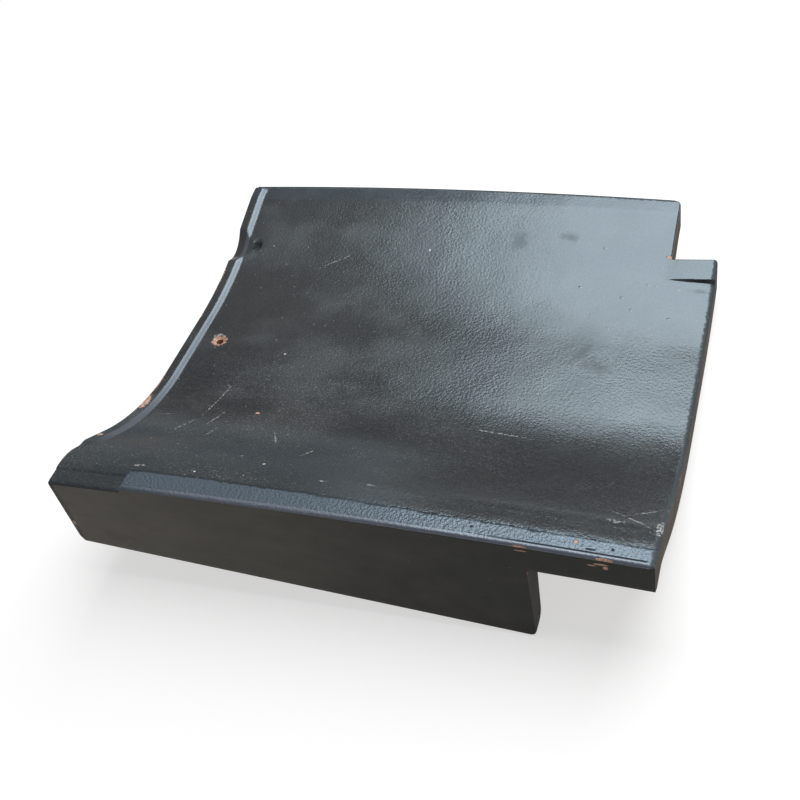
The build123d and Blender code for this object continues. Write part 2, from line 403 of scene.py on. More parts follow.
def graded(stops, steps):
    """Places from the first stop to the last, each stop kept, about a step apart between them."""
    result = [stops[0]]
    for start, end, step in zip(stops, stops[1:], steps):
        count = max(1, round((end - start) / step))
        result.extend(np.linspace(start, end, count + 1)[1:])
    return np.array(result)


def lattice(along, across, seed):
    """A fixed random value between 0 and 1 at whole-number places."""
    mixed = np.sin(along * 127.1 + across * 311.7 + seed * 74.7) * 43758.5453
    return mixed - np.floor(mixed)


def noise(along, across, scale, seed):
    """Smooth noise from -1 to 1, whose bumps are about a scale across."""
    u, v = along / scale, across / scale
    cell_u, cell_v = np.floor(u), np.floor(v)
    part_u, part_v = u - cell_u, v - cell_v
    part_u = part_u * part_u * (3 - 2 * part_u)
    part_v = part_v * part_v * (3 - 2 * part_v)
    near = mix(lattice(cell_u, cell_v, seed), lattice(cell_u + 1, cell_v, seed), part_u)
    far = mix(lattice(cell_u, cell_v + 1, seed), lattice(cell_u + 1, cell_v + 1, seed), part_u)
    return 2 * mix(near, far, part_v) - 1


def notch_lines(sizes):
    """Where the notch starts along the tile, and where it starts across it."""
    return sizes.length - sizes.notch_length, sizes.width - sizes.notch_width


def pad_lines(sizes):
    """Where the pad starts along the tile, and where it starts across it."""
    return sizes.length - sizes.pad_length, notch_lines(sizes)[1] - sizes.pad_width


def relief(sizes, along, across):
    """What stands above the plain upper face, or is cut into it, at places along and across."""
    s = sizes
    bead_on = ramp(along, s.seat_length - 0.8 * MM, s.seat_length + 0.8 * MM)
    rag = 0.5 * noise(along, across, 7 * MM, 3) + 0.35 * noise(along, across, 2.6 * MM, 5)
    rag = rag * bead_on * (1 - ramp(along, s.length - 14 * MM, s.length - 6 * MM))
    wide = ramp(along, s.seat_length, s.seat_length + 8 * MM)
    wide = wide * (1 - ramp(along, s.bead_taper_start, s.bead_taper_end))
    inner_edge = s.bead_width + s.bead_spread * wide + s.bead_rag * rag
    band = 1 - ramp(across, inner_edge - s.bead_slope, inner_edge)
    height = band * mix(-s.seat_depth, s.bead_height, bead_on)

    rim_foot, rim_top = s.stop_foot - 0.2 * MM, s.stop_top + 0.3 * MM
    rim = np.clip((rim_foot - along) / (rim_foot - rim_top), 0, 1)
    rim = rim * ramp(across, s.stop_start - 3 * MM, s.stop_start + 4 * MM)
    rim = rim * (1 - ramp(across, s.width - s.stop_gap - 2 * MM, s.width - s.stop_gap))
    height = height + s.stop_height * rim

    aside = np.clip(across - s.scoop_across, -s.scoop_radius, s.scoop_radius)
    bowl = s.scoop_radius - np.sqrt(s.scoop_radius**2 - aside**2)
    floor = bowl - s.scoop_depth * (1 - along / s.scoop_length)
    scooped = np.minimum(height, np.maximum(floor, -s.scoop_depth))
    height = np.where(along < s.scoop_length, scooped, height)

    from_dimple = np.hypot(along - s.dimple_along, across - s.dimple_across) / s.dimple_radius
    height = height - s.dimple_depth * np.sqrt(np.clip(1 - from_dimple**2, 0, 1))

    pad_start, pad_side = pad_lines(s)
    wedge = (along - pad_start) / s.pad_length
    pad_top = mix(camber_lift(s, pad_start), s.pad_height, wedge) - camber_lift(s, along)
    beside = ramp(across, pad_side - 0.3 * MM, pad_side + 0.5 * MM)
    return height + beside * np.where(wedge > 0, np.maximum(pad_top, 0), 0)


def lug_depth(sizes, along, across, plate_under):
    """How far the lug hangs below the plate, down to its level foot, at places along and across."""
    s = sizes
    foot = camber_lift(s, s.lug_along) - s.valley_depth - s.thickness - s.lug_height
    full = np.maximum(plate_under - foot, 0)
    beside_end = s.lug_length / 2 - np.abs(along - s.lug_along - s.lug_length / 2)
    beside_side = s.lug_width / 2 - s.lug_root * tan(s.lug_draft) - np.abs(across - s.lug_middle)
    inside = np.minimum(beside_end, beside_side)
    near_edge = np.clip(s.lug_radius - inside + full * tan(s.lug_draft), 0, s.lug_radius)
    rounding = s.lug_radius - np.sqrt(s.lug_radius**2 - near_edge**2)
    return np.maximum(np.minimum(inside / tan(s.lug_draft), full - rounding), 0)


def nail_square(sizes):
    """Half the side of the square round the nail hole, where its own rings replace the skin."""
    return sizes.nail_chip_diameter / 2 + 1.25 * MM


def plan_lines(sizes):
    """Places along and across the tile where the skin has its lines of points."""
    s = sizes
    lug_taper = s.lug_height * tan(s.lug_draft)
    lug_end = s.lug_along + s.lug_length
    lug_side = s.lug_middle + s.lug_width / 2
    notch_start, notch_edge = notch_lines(s)
    pad_side = pad_lines(s)[1]
    beyond = 0.6 * MM
    hole = nail_square(s)
    along = [
        (s.end_radius, 0.9),
        (s.stop_foot, 0.9),
        (lug_end - lug_taper, 1.7),
        (lug_end, 1.0),
        (s.nail_along - hole, 0.9),
        (s.nail_along + hole, 1.6),
        (s.seat_length - 1.3 * MM, 0.45),
        (s.seat_length + 1.3 * MM, 1.95),
        (s.apron_length - 4 * MM, 0.8),
        (s.apron_length, 1.0),
        (s.apron_length + 3 * MM, 1.6),
        (notch_start - s.end_radius, 1.8),
        (notch_start + beyond, 1.05),
        (s.length - s.end_radius, 0),
    ]
    across = [
        (s.edge_radius, 0.6),
        (s.bead_width - s.bead_slope - 0.4 * MM, 0.4),
        (s.bead_width + 0.4 * MM, 1.1),
        (s.apron_top + s.apron_root, 1.9),
        (s.lug_middle - s.lug_width / 2, 1.7),
        (s.lug_middle - s.lug_width / 2 + lug_taper, 1.9),
        (s.nail_across - hole, 0.9),
        (s.nail_across + hole, 1.9),
        (lug_side - lug_taper, 1.7),
        (lug_side, 1.9),
        (pad_side - 0.6 * MM, 0.35),
        (pad_side + 0.8 * MM, 1.1),
        (notch_edge - s.end_radius, 1.8),
        (notch_edge + beyond, 1.9),
        (s.width - s.side_rim_width, 0.9),
        (s.width - s.edge_radius, 0),
    ]
    lines = []
    for stops in (along, across):
        places, steps = zip(*stops)
        lines.append(graded(places, [step * MM for step in steps]))
    return lines


def index_of(lines, value):
    """The number of the line at a place."""
    return int(np.argmin(np.abs(lines - value)))


def rounded_plan(sizes, points):
    """Points moved inwards near the tile's corners, so that its outline is rounded from above."""
    s = sizes
    notch_start, notch_edge = notch_lines(s)
    corners = [
        (0, 1, 0, 1, s.plain_corner),
        (s.length, -1, 0, 1, s.plain_corner),
        (s.length, -1, notch_edge, -1, s.head_corner),
        (notch_start, -1, s.width, -1, s.notch_corner),
        (0, 1, s.width, -1, s.plain_corner),
    ]
    result = points.copy()
    for along, inward_along, across, inward_across, radius in corners:
        u = radius - (points[..., 0] - along) * inward_along
        v = radius - (points[..., 1] - across) * inward_across
        near = (u > 0) & (v > 0) & (u <= radius * 1.01) & (v <= radius * 1.01)
        scale = np.maximum(u, v) / np.maximum(np.hypot(u, v), 1e-9)
        result[..., 0] = np.where(near, along + inward_along * (radius - u * scale), result[..., 0])
        result[..., 1] = np.where(near, across + inward_across * (radius - v * scale), result[..., 1])
    return result


def put(context, name, data, turn=None, place=None):
    """Links new data to the scene as an object, turned and placed if they are given."""
    thing = bpy.data.objects.new(name, data)
    if turn is not None:
        thing.matrix_world = Matrix.Translation(place) @ turn.to_4x4()
    context.collection.objects.link(thing)
    return thing


class Skin:
    """Collects the points and four-sided faces of the tile's surface."""

    def __init__(self):
        self.points = []
        self.faces = []
        self.count = 0

    def add(self, points):
        """Adds points and returns their numbers, in the same layout."""
        points = np.asarray(points, float)
        numbers = np.arange(self.count, self.count + points[..., 0].size).reshape(points.shape[:-1])
        self.points.append(points.reshape(-1, 3))
        self.count += numbers.size
        return numbers

    def sheet(self, numbers, keep=None, below=False):
        """Joins a layout of points into faces, those that keep names, seen from above or below."""
        corners = [numbers[:-1, :-1], numbers[1:, :-1], numbers[1:, 1:], numbers[:-1, 1:]]
        if below:
            corners.reverse()
        faces = np.stack(corners, axis=-1)
        self.faces.append(faces.reshape(-1, 4) if keep is None else faces[keep])

    def strip(self, chains):
        """Joins a closed round of chains, each listed from the top down, into an outer wall."""
        after = np.roll(chains, -1, axis=0)
        faces = np.stack([chains[:, 1:], after[:, 1:], after[:, :-1], chains[:, :-1]], axis=-1)
        self.faces.append(faces.reshape(-1, 4))

    def finished(self):
        """The points in use and the faces."""
        points, faces = np.concatenate(self.points), np.concatenate(self.faces)
        used, faces = np.unique(faces, return_inverse=True)
        return points[used], faces.reshape(-1, 4)


def walk(along_stop, across_stop):
    """Line numbers round a rectangle of the plan, once round with the inside on the left."""
    i0, i1 = along_stop
    j0, j1 = across_stop
    steps = [(i, j0) for i in range(i0, i1)] + [(i1, j) for j in range(j0, j1)]
    steps += [(i, j1) for i in range(i1, i0, -1)] + [(i0, j) for j in range(j1, j0, -1)]
    return np.array(steps)


def outline_walk(i_last, j_last, i_notch, j_notch):
    """Line numbers round the tile's outline, with the notch, and the side that each is on."""
    legs = [
        ("verge", [(i, 0) for i in range(i_last)]),
        ("head", [(i_last, j) for j in range(j_notch)]),
        ("notch_side", [(i, j_notch) for i in range(i_last, i_notch, -1)]),
        ("notch_back", [(i_notch, j) for j in range(j_notch, j_last)]),
        ("far", [(i, j_last) for i in range(i_notch, 0, -1)]),
        ("tail", [(0, j) for j in range(j_last, 0, -1)]),
    ]
    steps = [step for _, leg in legs for step in leg]
    sides = [side for side, leg in legs for _ in leg]
    return np.array(steps), sides


def make_plate(skin, sizes, along, across, lines):
    """The plate's upper face, underside and edge walls. Returns the numbers of both faces."""
    s = sizes
    upper, lower = lines
    i_last, j_last = len(along) - 1, len(across) - 1
    notch_start, notch_edge = notch_lines(s)
    i_notch = index_of(along, notch_start - s.end_radius)
    j_notch = index_of(across, notch_edge - s.end_radius)
    x, y = np.meshgrid(along, across, indexing="ij")
    top = upper.height(y) + camber_lift(s, x) + relief(s, x, y)
    plate_under = lower.height(y) + camber_lift(s, x)
    hang = lug_depth(s, x, y, plate_under)
    hang[0] = 0
    under = plate_under - hang

    steps, sides = outline_walk(i_last, j_last, i_notch, j_notch)
    outward = {
        "verge": (0, -s.edge_radius),
        "head": (s.end_radius, 0),
        "notch_side": (0, s.end_radius),
        "notch_back": (s.end_radius, 0),
        "far": (0, s.edge_radius),
        "tail": (-s.end_radius, 0),
    }
    reach = np.array([outward[side] for side in sides])
    turned = np.array([side != before for side, before in zip(sides, [sides[-1]] + sides)])
    reach[turned] += np.array([outward[side] for side in [sides[-1]] + sides[:-1]])[turned]
    i, j = steps.T
    held = (j == 0) * (1 - ramp(along[i], s.apron_length, s.apron_length + 3 * MM))
    root = s.apron_top + s.apron_root
    held = np.maximum(held, (i == 0) * (1 - ramp(across[j], root, root + 3 * MM)))

    floor = np.stack([x, y, under], axis=-1)
    floor[i, j, :2] += reach * held[:, None]
    bend, straight = 5, 8
    angles = np.linspace(0, pi / 2, bend + 1)
    out = np.concatenate([np.sin(angles), np.ones(straight - 1), np.sin(angles[::-1])])
    radius = np.where(np.isin(sides, ["verge", "far"]), s.edge_radius, s.end_radius)[:, None]
    crown, base = top[i, j][:, None], under[i, j][:, None]
    side_run = np.linspace(0, 1, straight + 1)[None, 1:-1]
    held_run = np.linspace(0, 1, straight + bend + 1)[None, 1:]
    arc_down = radius * (1 - np.cos(angles))[None]
    side_up = mix(crown - radius, base + radius, side_run)
    free = np.concatenate([crown - arc_down, side_up, base + arc_down[:, ::-1]], axis=1)
    fixed = np.concatenate([crown - arc_down, mix(crown - radius, base, held_run)], axis=1)
    up = mix(free, fixed, held[:, None])
    out = mix(out[None], np.maximum.accumulate(out)[None], held[:, None])
    wall = np.stack(
        [
            along[i][:, None] + reach[:, :1] * out,
            across[j][:, None] + reach[:, 1:] * out,
            up,
        ],
        axis=-1,
    )

    top_numbers = skin.add(rounded_plan(s, np.stack([x, y, top], axis=-1)))
    under_numbers = skin.add(rounded_plan(s, floor))
    wall_numbers = skin.add(rounded_plan(s, wall[:, 1:-1]))
    chains = np.concatenate(
        [top_numbers[i, j][:, None], wall_numbers, under_numbers[i, j][:, None]], axis=1
    )
    skin.strip(chains)
    return top_numbers, under_numbers, i_notch, j_notch


def make_apron(skin, sizes, along, across, lines, under_numbers, i_end, j_root):
    """The apron's walls and foot, hung from the underside's points round its root."""
    s = sizes
    bend, straight = 4, 10
    angles = np.linspace(0, pi / 2, bend + 1)
    x = along[: i_end + 1].copy()
    x[0] = 0
    reach = (across[: j_root + 1] - across[0]) / (across[j_root] - across[0])
    nearest_end = np.minimum(x, s.apron_length - x)
    tuck = s.apron_corner - np.clip(nearest_end, 0, s.apron_corner)
    lift = s.apron_corner - np.sqrt(s.apron_corner**2 - tuck**2)
    foot = lift - mix(s.apron_tail, s.apron_head, x / s.apron_length)
    root = s.apron_top + s.apron_root
    under_outer = lines[1].height(0) + camber_lift(s, x)
    under_inner = lines[1].height(root) + camber_lift(s, x)

    down = np.linspace(0, 1, bend + straight + 1)
    outer_up = np.concatenate(
        [
            mix(under_outer[:, None], foot[:, None] + s.apron_outer, down[None, :-1]),
            foot[:, None] + s.apron_outer * (1 - np.sin(angles))[None],
        ],
        axis=1,
    )
    outer_in = np.concatenate([0 * down[:-1], s.apron_outer * (1 - np.cos(angles))])
    side = np.linspace(0, 1, straight + 1)[1:-1]
    inner_up = np.concatenate(
        [
            under_inner[:, None] - s.apron_root * (1 - np.cos(angles))[None],
            mix(under_inner[:, None] - s.apron_root, foot[:, None] + s.apron_inner, side[None]),
            foot[:, None] + s.apron_inner * (1 - np.sin(angles))[None],
        ],
        axis=1,
    )
    flare_up = -s.thickness - s.apron_root
    draft = (s.apron_top - s.apron_foot) / (s.apron_head + flare_up)
    inner_in = s.apron_top - draft * np.maximum(flare_up - inner_up, 0)
    inner_in[:, : bend + 1] = root - s.apron_root * np.sin(angles)
    inner_in[:, -bend - 1 :] -= s.apron_inner * (1 - np.cos(angles))

    def placed(i, j):
        """Points down the apron's wall below line numbers i and j."""
        part = reach[j][:, None]
        return np.stack(
            [
                np.repeat(x[i][:, None], inner_in.shape[1], axis=1),
                mix(outer_in[None], inner_in[i], part),
                mix(outer_up[i], inner_up[i], part),
            ],
            axis=-1,
        )

    i, j = walk((0, i_end), (0, j_root)).T
    walls = placed(i, j)
    foot_i, foot_j = np.meshgrid(np.arange(i_end + 1), np.arange(j_root + 1), indexing="ij")
    foot_points = placed(foot_i.ravel(), foot_j.ravel())[:, -1].reshape(*foot_i.shape, 3)
    foot_numbers = skin.add(rounded_plan(s, foot_points))
    wall_numbers = skin.add(rounded_plan(s, walls[:, 1:-1]))
    skin.sheet(foot_numbers, below=True)
    skin.strip(
        np.concatenate([under_numbers[i, j][:, None], wall_numbers, foot_numbers[i, j][:, None]], axis=1)
    )


def make_nail_hole(skin, sizes, along, across, lines, top_numbers, under_numbers, block):
    """The nail hole, with the glaze chipped away unevenly round its mouth."""
    s = sizes
    steps = walk(*block)
    i, j = steps.T
    middle = np.array([s.nail_along, s.nail_across])
    away = np.stack([along[i], across[j]], axis=-1) - middle
    far = np.hypot(*away.T)
    bearing = away / far[:, None]
    bore = s.nail_diameter / 2
    uneven = 0.22 * noise(bearing[:, 0], bearing[:, 1], 0.45, 5)
    chip = s.nail_chip_diameter / 2 * (1 + uneven)

    def ring(part, face):
        """Points round the hole, part of the way in from the block's sides to the bore."""
        radius = mix(far, bore, part)
        x, y = (middle + bearing * radius[:, None]).T
        if face == "under":
            return np.stack([x, y, lines[1].height(y) + camber_lift(s, x)], axis=-1)
        lost = s.nail_chip_depth * np.clip((chip - radius) / (chip - bore), 0, 1) ** 0.8
        up = lines[0].height(y) + camber_lift(s, x) + relief(s, x, y) - lost
        return np.stack([x, y, up], axis=-1)

    above = np.stack([ring(part, "top") for part in np.linspace(0, 1, 10)], axis=1)
    below = np.stack([ring(part, "under") for part in np.linspace(1, 0, 5)], axis=1)
    inner_parts = np.linspace(0, 1, 7)[1:-1]
    shaft = np.stack([mix(above[:, -1], below[:, 0], part) for part in inner_parts], axis=1)
    inner = skin.add(np.concatenate([above[:, 1:], shaft, below[:, :-1]], axis=1))
    chains = np.concatenate([top_numbers[i, j][:, None], inner, under_numbers[i, j][:, None]], axis=1)
    skin.strip(chains[::-1])


def make_skin(sizes):
    """Points and faces of the whole tile, in its own axes."""
    s = sizes
    lines = plate_lines(s)
    along, across = plan_lines(s)
    skin = Skin()
    top_numbers, under_numbers, i_notch, j_notch = make_plate(skin, s, along, across, lines)

    hole = nail_square(s)
    block = [
        (index_of(lines_along, middle - hole), index_of(lines_along, middle + hole))
        for lines_along, middle in ((along, s.nail_along), (across, s.nail_across))
    ]
    i_end = index_of(along, s.apron_length)
    j_root = index_of(across, s.apron_top + s.apron_root)
    i, j = np.meshgrid(np.arange(len(along) - 1), np.arange(len(across) - 1), indexing="ij")
    solid = ~((i >= i_notch) & (j >= j_notch))
    solid &= ~((i >= block[0][0]) & (i < block[0][1]) & (j >= block[1][0]) & (j < block[1][1]))
    skin.sheet(top_numbers, keep=solid)
    skin.sheet(under_numbers, keep=solid & ~((i < i_end) & (j < j_root)), below=True)
    make_apron(skin, s, along, across, lines, under_numbers, i_end, j_root)
    make_nail_hole(skin, s, along, across, lines, top_numbers, under_numbers, block)
    return skin.finished()


def build_body(context):
    """The tile's body as one mesh, placed in the frame, and its points in the tile's own axes."""
    sizes = context.scene.verge_tile
    points, faces = make_skin(sizes)
    turn, shift = tile_axes()
    placed = points @ np.array(turn).T + np.array(shift)
    mesh = bpy.data.meshes.new("verge_tile_body")
    mesh.vertices.add(len(placed))
    mesh.vertices.foreach_set("co", placed.ravel())
    mesh.loops.add(faces.size)
    mesh.loops.foreach_set("vertex_index", faces.ravel())
    mesh.polygons.add(len(faces))
    mesh.polygons.foreach_set("loop_start", np.arange(0, faces.size, 4))
    mesh.polygons.foreach_set("use_smooth", np.ones(len(faces), bool))
    own_place = mesh.attributes.new("own_place", "FLOAT_VECTOR", "POINT")
    own_place.data.foreach_set("vector", points.ravel())
    mesh.update()
    mesh.validate()
    mesh.set_sharp_from_angle(angle=radians(50))
    return put(context, "verge_tile_body", mesh), points


class Finish:
    """Builds a material of one shader, whose nodes take values or other nodes' results."""

    def __init__(self, name):
        self.material = bpy.data.materials.new(name)
        self.material.use_nodes = True
        self.tree = self.material.node_tree
        self.shader = self.tree.nodes["Principled BSDF"]
        attribute = self.tree.nodes.new("ShaderNodeAttribute")
        attribute.attribute_name = "own_place"
        self.place = attribute.outputs["Vector"]
        parts = self.add("ShaderNodeSeparateXYZ", {0: self.place}).outputs
        self.along, self.across, self.up = parts

    def add(self, kind, inputs, **settings):
        """A new node with its settings, and its sockets filled by number or by name."""
        node = self.tree.nodes.new(kind)
        for name, value in settings.items():
            setattr(node, name, value)
        for socket, value in inputs.items():
            if isinstance(value, bpy.types.NodeSocket):
                self.tree.links.new(value, node.inputs[socket])
            else:
                node.inputs[socket].default_value = value
        return node

    def math(self, operation, first, second=0.0):
        """The result of a sum on two values."""
        return self.add("ShaderNodeMath", {0: first, 1: second}, operation=operation).outputs[0]

    def both(self, whole, *masks):
        """A mask that is on where all of its masks are."""
        for mask in masks:
            whole = self.math("MULTIPLY", whole, mask)
        return whole

    def either(self, whole, *masks):
        """A mask that is on where any of its masks is."""
        for mask in masks:
            whole = self.math("MAXIMUM", whole, mask)
        return whole

    def without(self, mask):
        """The opposite of a mask."""
        return self.math("SUBTRACT", 1.0, mask)

    def rise(self, value, start, end):
        """Rises smoothly from 0 at start to 1 at end, or falls if start is the larger."""
        inputs = {"Value": value, "From Min": start, "From Max": end}
        return self.add("ShaderNodeMapRange", inputs, interpolation_type="SMOOTHSTEP").outputs[0]

    def rise_mm(self, value, start, end, place=0.0):
        """The same, with start and end in millimetres from a place."""
        return self.rise(value, place + start * MM, place + end * MM)

    def blend(self, part, first, second):
        """A number between two others."""
        return self.add("ShaderNodeMix", {"Factor": part, "A": first, "B": second}).outputs["Result"]

    def tint(self, part, first, second):
        """A colour between two others."""
        inputs = {0: part}
        for socket, value in ((6, first), (7, second)):
            inputs[socket] = value if isinstance(value, bpy.types.NodeSocket) else (*value, 1)
        return self.add("ShaderNodeMix", inputs, data_type="RGBA").outputs[2]

    def layers(self, colour, *layers):
        """A colour with others laid over it in turn, each as (where, how much, which)."""
        for mask, amount, layer in layers:
            colour = self.tint(mask if amount == 1 else self.both(mask, amount), colour, layer)
        return colour

    def noise(self, size, detail=2.0, seed=0.0, stretch=(1, 1, 1)):
        """Even noise round 0.5, whose features are about a size in millimetres across."""
        inputs = {"Vector": self.place, "Location": (seed, seed, 0), "Scale": stretch}
        spread = self.add("ShaderNodeMapping", inputs).outputs[0]
        inputs = {"Vector": spread, "Scale": 1 / (size * MM), "Detail": detail}
        return self.add("ShaderNodeTexNoise", inputs).outputs[0]

    def cells(self, size):
        """How far each place is from the middle of its cell, in cells of a size in millimetres."""
        inputs = {"Vector": self.place, "Scale": 1 / (size * MM)}
        return self.add("ShaderNodeTexVoronoi", inputs).outputs["Distance"]

    def marks(self, group, ragged=0.3, grain=1.6, soft=0.12):
        """Oval marks on the upper face with ragged edges: 1 inside, 0 outside."""
        any_height = 1000
        wobble = self.blend(self.noise(grain, 3.0, seed=0.04 * len(group)), -2 * ragged, 2 * ragged)
        ovals = []
        for along, across, length, breadth, turn in group:
            inputs = {
                "Vector": self.place,
                "Location": (along * MM, across * MM, 0),
                "Rotation": (0, 0, radians(turn)),
                "Scale": (length / 2 * MM, breadth / 2 * MM, any_height),
            }
            own = self.add("ShaderNodeMapping", inputs, vector_type="TEXTURE").outputs[0]
            away = self.add("ShaderNodeVectorMath", {0: own}, operation="LENGTH").outputs["Value"]
            ovals.append(self.rise(self.math("ADD", away, wobble), 1 + soft, 1 - soft))
        return self.either(*ovals)

    def broken_clay(self, look):
        """Colour of clay where the glaze has chipped off."""
        patches = self.rise(self.noise(1.2, 3.0, seed=7.0), 0.35, 0.65)
        return self.tint(patches, look.clay, look.clay_pale)

    def bumps(self, *layers):
        """Surface relief from layers of (height from 0 to 1, its depth)."""
        normal = None
        for height, depth in layers:
            inputs = {"Height": height, "Distance": depth}
            if normal is not None:
                inputs["Normal"] = normal
            normal = self.add("ShaderNodeBump", inputs).outputs[0]
        return normal

    def finish(self, colour, roughness, normal, index, sheen=(1, 1, 1)):
        """Fills the shader and returns the material."""
        sockets = self.shader.inputs
        for name, value in (("Base Color", colour), ("Roughness", roughness), ("Normal", normal)):
            self.tree.links.new(value, sockets[name])
        sockets["IOR"].default_value = index
        sockets["Specular Tint"].default_value = (*sheen, 1)
        return self.material


def black_glaze(sizes, look):
    """Satin black glaze: ripple, pebbly bead, specks, dust, stains, scratches, bubbles, chips, painted
    highlights and shade.
    """
    g = Finish("black_glaze")
    g.shader.distribution = "GGX"
    fine = g.noise(0.8, seed=2.3)
    middling = g.noise(2.4, 3.0, seed=0.7)
    cloud = g.noise(38, 4.0, seed=1.1, stretch=(0.7, 1, 1))
    wander = g.blend(middling, -1.6 * MM, 1.6 * MM)

    # Broad areas: the dusty tail half, the scuffed flank and crest there, which also carry
    # painted shade, and the smooth glaze of the far corner
    left = g.rise_mm(g.along, 215, 70)
    worn_and_shaded = g.both(g.rise_mm(g.along, 225, 120), g.rise_mm(g.across, 84, 56))
    smooth = g.both(g.rise_mm(g.along, 150, 240), g.rise_mm(g.across, 140, 200))
    far_half = g.rise_mm(g.across, 110, 190)
    side_rim = g.rise_mm(g.across, -1.5, 0.5, sizes.width - sizes.side_rim_width)

    # The bead, wider towards the tail, with painted shade as a dark line inside it, a smooth
    # outer bend with a painted highlight, and a groove beside that bend near the head
    tapered = g.rise(g.along, sizes.bead_taper_start, sizes.bead_taper_end)
    widest = sizes.bead_width + sizes.bead_spread + 0.4 * MM
    bead_width = g.blend(tapered, widest, sizes.bead_width)
    inside = g.math("SUBTRACT", bead_width, g.math("ADD", g.across, wander))
    started = g.rise_mm(g.along, -0.6, 0.8, sizes.seat_length)
    bead = g.both(g.rise_mm(inside, 0, 0.9), started)
    bead_shade_line = g.both(g.rise_mm(inside, -1.0, -0.3), g.rise_mm(inside, 0.5, 0), started)
    roll = g.rise_mm(g.across, 3.1, 2.4)
    pebbly = g.both(bead, g.without(g.both(roll, 0.85)))
    groove = g.both(
        g.rise_mm(g.across, 2.1, 2.4),
        g.rise_mm(g.across, 3.1, 2.8),
        g.rise_mm(g.along, 225, 250),
        g.rise_mm(g.along, -3, -5, sizes.length),
    )

    # Dust in clouds, and pale specks that are fewer on the far side
    dust = g.both(g.rise(cloud, 0.42, 0.64), g.blend(left, 0.1, 0.85))
    near_half = g.rise_mm(g.across, 165, 110)
    specks = g.both(
        g.rise(fine, 0.57, 0.69),
        g.blend(near_half, 0.06, g.blend(left, 0.3, 0.42)),
        g.blend(g.rise(cloud, 0.40, 0.60), 0.35, 1.0),
    )
    flecks = g.rise(g.noise(2.2, 1.0, seed=4.1), 0.76, 0.78)
    specks = g.either(specks, g.both(flecks, g.blend(left, 0.15, 0.7)))

    # The water stop's inner slope, with a painted highlight, and the thin glaze along the tile's edges
    stripe = g.both(
        g.rise_mm(g.across, 28, 60),
        g.rise_mm(g.along, 0.4, -0.6, sizes.stop_foot),
        g.rise_mm(g.along, -0.4, 0.8, sizes.stop_top),
    )
    along, across = (g.math("ADD", value, wander) for value in (g.along, g.across))
    edge_line = g.either(
        g.rise_mm(along, -3.0, -1.4, sizes.length),
        g.rise_mm(along, 1.6, 0.6),
        g.rise_mm(across, -3.2, -2.2, sizes.width),
    )
    edge_flecks = g.both(edge_line, g.rise(middling, 0.60, 0.66))

    # Single marks of wear
    stains = g.marks(STAINS, 0.5, 6, 0.7)
    smudges = g.marks(SMUDGES, 0.6, 5, 0.7)
    scratches = g.marks(SCRATCHES, 0.7, 2.0, 0.35)
    scratches = g.both(scratches, g.rise(g.noise(1.4, seed=5.5), 0.42, 0.6))
    dots = g.marks(DOTS, 0.12)
    bubbles = g.marks(BUBBLES, 0.1, soft=0.5)
    chips = g.marks(CHIPS, 0.4)
    chip_rims = g.both(g.marks(CHIP_RIMS, 0.4, 2), g.rise(fine, 0.45, 0.55))
    pits = g.marks(PITS, 0.2)
    holes = g.either(groove, pits)

    peel = g.noise(1.4)
    mottle = g.blend(g.rise(g.math("ADD", peel, middling), 0.7, 1.3), 0.0, 0.4)
    colour = g.layers(
        look.glaze,
        (dust, 0.55, look.glaze_dusty),
        (mottle, 1, look.glaze_dusty),
        (g.both(left, far_half), 0.4, look.glaze_dusty),
        # Painted shade on the scuffed flank and crest
        (worn_and_shaded, 0.5, look.flank_shade),
        (side_rim, 0.5, look.bead),
        (stains, 0.3, look.stain),
        (specks, 1, look.speck),
        # The bead's own glaze with painted reflection, lighter towards the head
        (bead, 1, g.tint(g.rise_mm(g.along, 200, 290), look.bead, look.bead_head)),
        # Painted highlight on the bead's outer bend, fading in between 30 and 90 mm from the tail
        (roll, g.rise_mm(g.along, 30, 90), look.edge_highlight),
        # Painted shade as a dark line inside the bead
        (bead_shade_line, 1, look.bead_shade_line),
        # Painted highlight on the water stop's inner slope
        (stripe, 0.7, look.edge_highlight),
        (edge_line, 0.75, look.glaze_edge),
        (edge_flecks, 0.5, look.clay_smoked),
        (scratches, 1, look.speck),
        # Painted shade in the groove, the dimple and the pits
        (holes, 1, look.hollow_shade),
        (chip_rims, 0.8, look.chip_edge),
        (chips, 1, g.broken_clay(look)),
        (dots, 1, look.chip_edge),
        (bubbles, 0.2, look.speck),
    )

    uneven = 0.06
    roughness = g.blend(
        g.noise(20, 3.0, seed=3.3), look.glaze_roughness - uneven, look.glaze_roughness + uneven
    )
    for mask, level in (
        (g.both(dust, 0.2), look.worn_roughness),
        (g.both(worn_and_shaded, g.without(g.both(bead, 0.5))), look.worn_roughness),
        (g.both(g.either(stains, smudges), 0.25), look.worn_roughness),
        (edge_line, 0.8),
        (stripe, g.blend(g.rise_mm(g.across, 200, 120), 0.3, 0.42)),
        (g.either(chips, scratches, holes), 0.85),
    ):
        roughness = g.blend(mask, roughness, level)

    # The ripple is stronger where the glaze is worn, and weaker on smooth glaze and the stripe
    strength = g.math("SUBTRACT", g.blend(worn_and_shaded, 1.0, 2.2), g.both(smooth, 0.55))
    ripple = g.both(peel, strength, g.blend(stripe, 1.0, 0.15))
    dip = g.rise_mm(g.math("SUBTRACT", bead_width, g.across), -9, 2.5)
    normal = g.bumps(
        (g.noise(48, seed=0.3), look.swell),
        (dip, look.dip),
        (ripple, look.orange_peel),
        (g.both(pebbly, g.noise(1.3, 3.0, seed=0.9)), look.pebble),
        (bubbles, look.bubble),
        (g.without(g.either(holes, bead_shade_line, chips)), look.hollow),
    )
    return g.finish(colour, roughness, normal, look.glaze_index, look.painted_reflection_tint)


